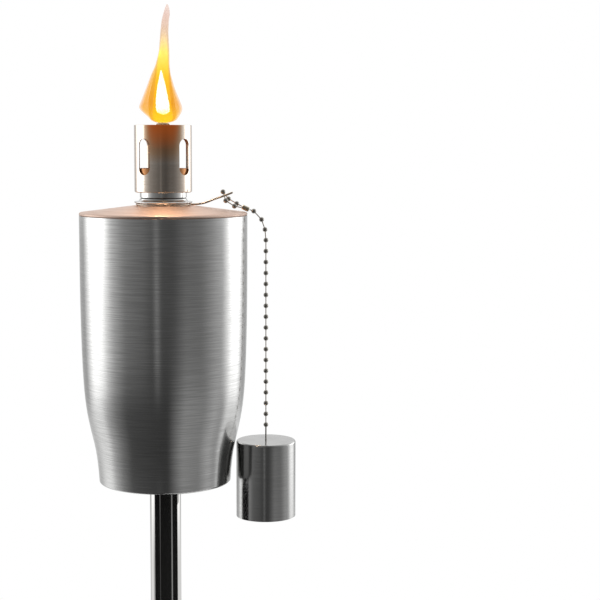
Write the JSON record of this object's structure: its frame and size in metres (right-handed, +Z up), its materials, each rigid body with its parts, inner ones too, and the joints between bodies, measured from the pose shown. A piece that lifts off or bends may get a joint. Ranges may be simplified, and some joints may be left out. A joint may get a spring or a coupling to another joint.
{
  "type": "tiki torch",
  "caption": "Garden torch on a ground pole: waisted steel fuel canister, slotted burner with wick and flame, and a snuffer cap on a ball chain.",
  "frame": {"origin": "on the pole axis at ground level, where the spike enters the soil", "axes": "+Z up along the pole, front towards -Y, wire arm and snuffer cap on the +X side"},
  "size_m": [0.1438, 0.1112, 1.7301],
  "materials": {
    "pole_steel": "polished stainless steel tube",
    "spike_steel": "black coated steel",
    "insert_brass": "turned",
    "canister_steel": "brushed round the axis",
    "lid_steel": "satin",
    "neck_steel": "polished",
    "burner_steel": "satin, slightly heat tinted",
    "cap_steel": "brushed round the axis",
    "wick_brass": "drawn",
    "connector_brass": "nickel worn to brass",
    "wire_steel": "drawn",
    "chain_steel": "nickel plated",
    "seal_rubber": "matt",
    "wick_fibre": "braided glass fibre, charred at the top",
    "flame": "burning gas"
  },
  "bodies": {
    "stand": {"ground_spike": "spike_steel", "pole_lower": "pole_steel", "pole_lower_insert": "insert_brass", "pole_middle_stud": "insert_brass", "pole_middle": "pole_steel", "pole_middle_insert": "insert_brass", "pole_upper_stud": "insert_brass", "pole_upper": "pole_steel", "pole_upper_insert": "insert_brass", "base_stud": "insert_brass", "canister_base": "canister_steel", "canister_shell": "canister_steel", "canister_lid": "lid_steel", "filler_neck": "neck_steel"},
    "seal": {"burner_seal": "seal_rubber"},
    "burner": {"burner_collar": "neck_steel", "burner_tube": "burner_steel", "burner_cup": "burner_steel", "wick_tube": "wick_brass"},
    "wick": {"wick": "wick_fibre", "flame": "flame"},
    "tether": {"tether_wire": "wire_steel", "upper_chain_beads": "chain_steel", "upper_chain_links": "chain_steel", "chain_connector": "connector_brass"},
    "chain_pivot": {"chain_pivot_bead": "chain_steel"},
    "chain_drop": {"chain_drop_beads": "chain_steel", "chain_drop_links": "chain_steel"},
    "swivel": {"cap_swivel": "chain_steel"},
    "cap": {"snuffer_cap": "cap_steel"}
  },
  "joints": [
    {"name": "burner_rise", "type": "slide", "parent": "stand", "child": "seal", "axis": [0, 0, 1], "range_m": [0, 0.0075]},
    {"name": "burner_turn", "type": "hinge", "parent": "seal", "child": "burner", "pos_m": [0, 0, 1.4031], "axis": [0, 0, 1], "range_deg": [0, 1084]},
    {"name": "wick_slide", "type": "slide", "parent": "burner", "child": "wick", "axis": [0, 0, 1], "range_m": [-0.004, 0.01]},
    {"name": "tether_turn", "type": "hinge", "parent": "stand", "child": "tether", "pos_m": [0, 0, 1.39915], "axis": [0, 0, 1], "continuous": true},
    {"name": "chain_swing_out", "type": "hinge", "parent": "tether", "child": "chain_pivot", "pos_m": [0.0681, 0, 1.3751], "axis": [0, -1, 0], "range_deg": [0, 60]},
    {"name": "chain_swing_side", "type": "hinge", "parent": "chain_pivot", "child": "chain_drop", "pos_m": [0.0681, 0, 1.3751], "axis": [1, 0, 0], "range_deg": [-45, 45]},
    {"name": "cap_tilt", "type": "hinge", "parent": "chain_drop", "child": "swivel", "pos_m": [0.0681, 0, 1.24998], "axis": [0, -1, 0], "range_deg": [0, 50]},
    {"name": "cap_spin", "type": "hinge", "parent": "swivel", "child": "cap", "pos_m": [0.0681, 0, 1.2392], "axis": [0, 0, 1], "continuous": true}
  ],
  "couplings": [
    {"joint": "burner_turn", "follows": "burner_rise", "rad_per_m": 2513.3}
  ]
}
